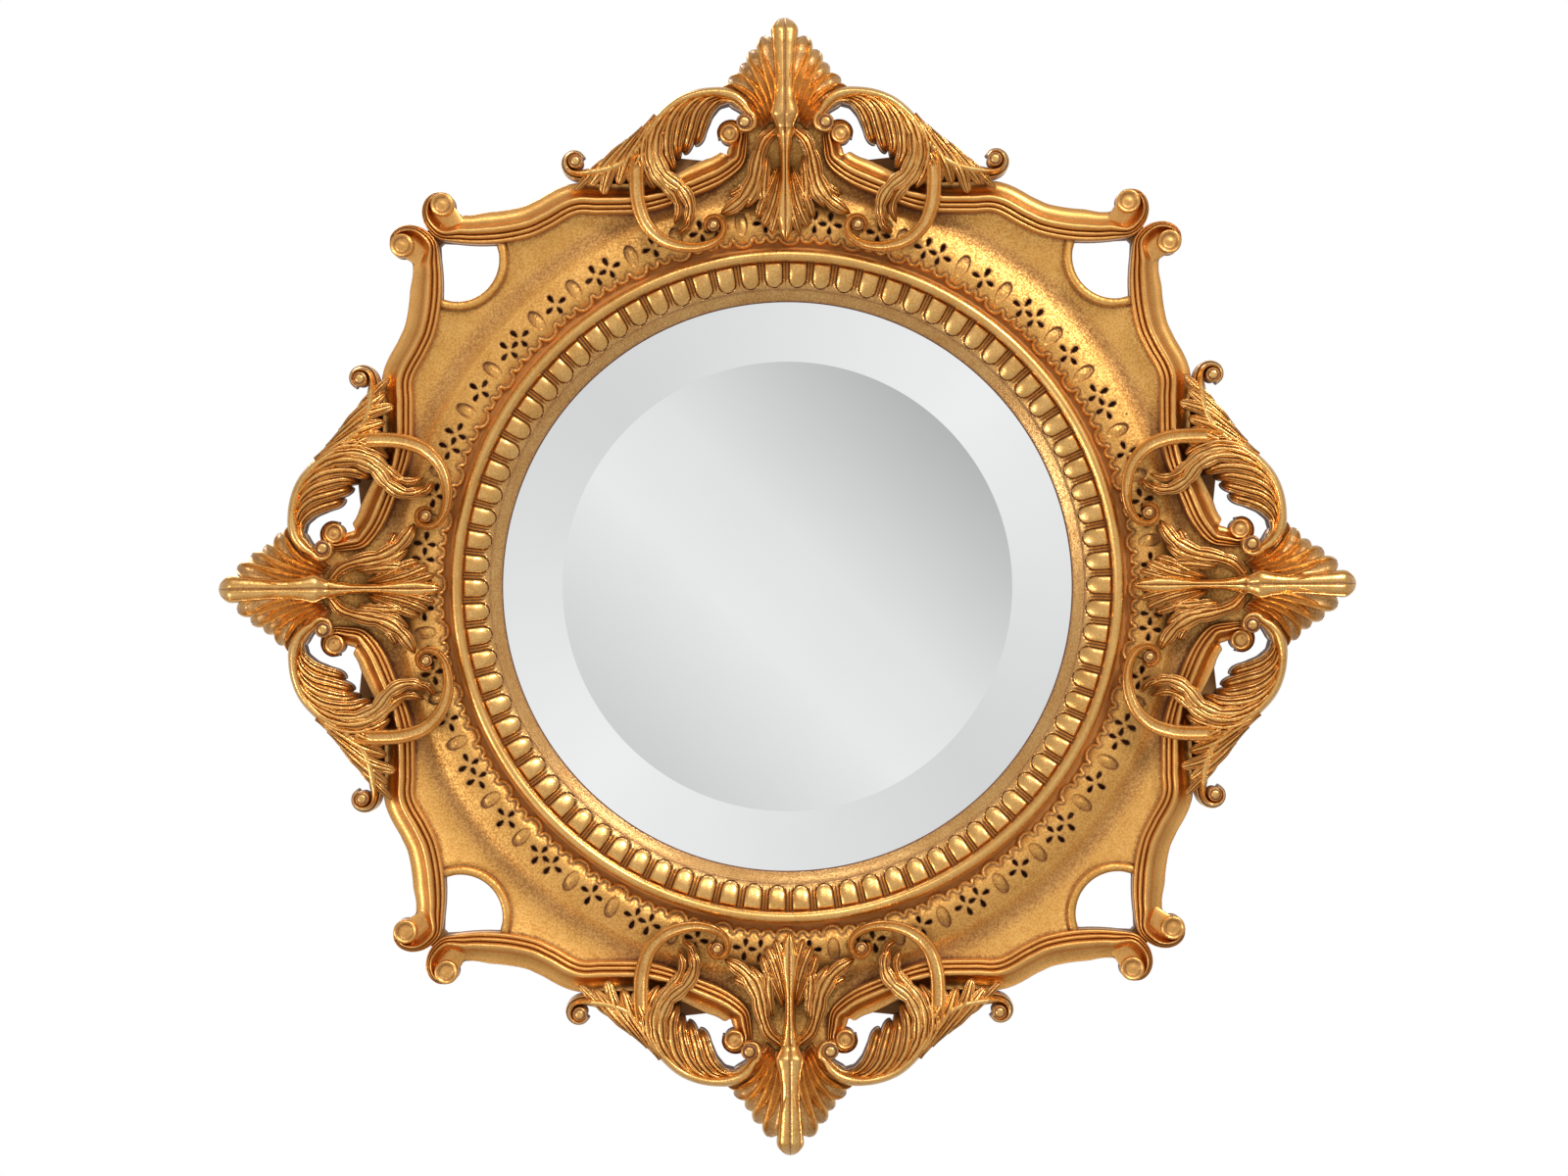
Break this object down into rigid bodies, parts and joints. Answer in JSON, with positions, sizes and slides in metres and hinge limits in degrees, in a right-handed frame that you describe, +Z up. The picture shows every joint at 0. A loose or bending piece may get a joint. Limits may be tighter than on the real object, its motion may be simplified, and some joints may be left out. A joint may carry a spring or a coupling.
{
  "type": "convex butlers mirror",
  "caption": "Round convex mirror with a bevelled edge in a carved and pierced gilt frame with shell crests on each side, hung on a wall by D rings.",
  "frame": {"origin": "centre of the mirror's circle in the plane of the wall", "axes": "+X to the right of someone who looks at the mirror, +Z up the wall, +Y into the wall, so the glass faces -Y"},
  "size_m": [0.914, 0.0713, 0.914],
  "materials": {
    "gilt": "antique gold leaf over red clay on carved wood, softly worn, satin metal sheen",
    "pale_gilt": "paler stippled gold leaf on carved wood, satin metal sheen",
    "deep_gilt": "darker gold leaf on carved wood, red clay in the recesses, satin metal sheen",
    "silvered_glass": "polished silvered glass, bent outwards, with a wide flat bevel",
    "wood": "dark stained pine, matte",
    "backing": "brown hardboard, matte",
    "packing": "plain softwood packing, matte",
    "steel": "zinc plated steel",
    "brass": "plain pressed brass",
    "felt": "dark felt, matte"
  },
  "bodies": {
    "frame": {"mirror_plate": "silvered_glass", "packing_ring": "packing", "backing_board": "backing", "back_frame": "wood", "egg_ring": "gilt", "bead_ring": "gilt", "lace_ring": "pale_gilt", "field_panel": "pale_gilt", "rail_top_a": "deep_gilt", "arm_top_a": "gilt", "rail_top_b": "deep_gilt", "arm_top_b": "gilt", "shell_top": "pale_gilt", "pendant_top": "gilt", "rail_right_a": "deep_gilt", "arm_right_a": "gilt", "rail_right_b": "deep_gilt", "arm_right_b": "gilt", "shell_right": "pale_gilt", "pendant_right": "gilt", "rail_bottom_a": "deep_gilt", "arm_bottom_a": "gilt", "rail_bottom_b": "deep_gilt", "arm_bottom_b": "gilt", "shell_bottom": "pale_gilt", "pendant_bottom": "gilt", "rail_left_a": "deep_gilt", "arm_left_a": "gilt", "rail_left_b": "deep_gilt", "arm_left_b": "gilt", "shell_left": "pale_gilt", "pendant_left": "gilt", "button_screw_1": "steel", "bumper_1": "felt", "button_screw_2": "steel", "bumper_2": "felt", "button_screw_3": "steel", "bumper_3": "felt", "button_screw_4": "steel", "bumper_4": "felt", "hanger_strap_left": "steel", "hanger_screw_left": "steel", "hanger_strap_right": "steel", "hanger_screw_right": "steel"},
    "button_1": {"turn_button_1": "brass"},
    "button_2": {"turn_button_2": "brass"},
    "button_3": {"turn_button_3": "brass"},
    "button_4": {"turn_button_4": "brass"},
    "ring_left": {"hanger_ring_left": "steel"},
    "ring_right": {"hanger_ring_right": "steel"}
  },
  "joints": [
    {"name": "turn_button_1_pivot", "type": "hinge", "parent": "frame", "child": "button_1", "pos_m": [0, -0.0049, 0.255], "axis": [0, 1, 0], "continuous": true},
    {"name": "turn_button_2_pivot", "type": "hinge", "parent": "frame", "child": "button_2", "pos_m": [0.255, -0.0049, 0], "axis": [0, 1, 0], "continuous": true},
    {"name": "turn_button_3_pivot", "type": "hinge", "parent": "frame", "child": "button_3", "pos_m": [0, -0.0049, -0.255], "axis": [0, 1, 0], "continuous": true},
    {"name": "turn_button_4_pivot", "type": "hinge", "parent": "frame", "child": "button_4", "pos_m": [-0.255, -0.0049, 0], "axis": [0, 1, 0], "continuous": true},
    {"name": "hanger_ring_left_hinge", "type": "hinge", "parent": "frame", "child": "ring_left", "pos_m": [-0.283, -0.0032, 0.11], "axis": [1, 0, 0], "range_deg": [0, 180]},
    {"name": "hanger_ring_right_hinge", "type": "hinge", "parent": "frame", "child": "ring_right", "pos_m": [0.283, -0.0032, 0.11], "axis": [1, 0, 0], "range_deg": [0, 180]}
  ]
}
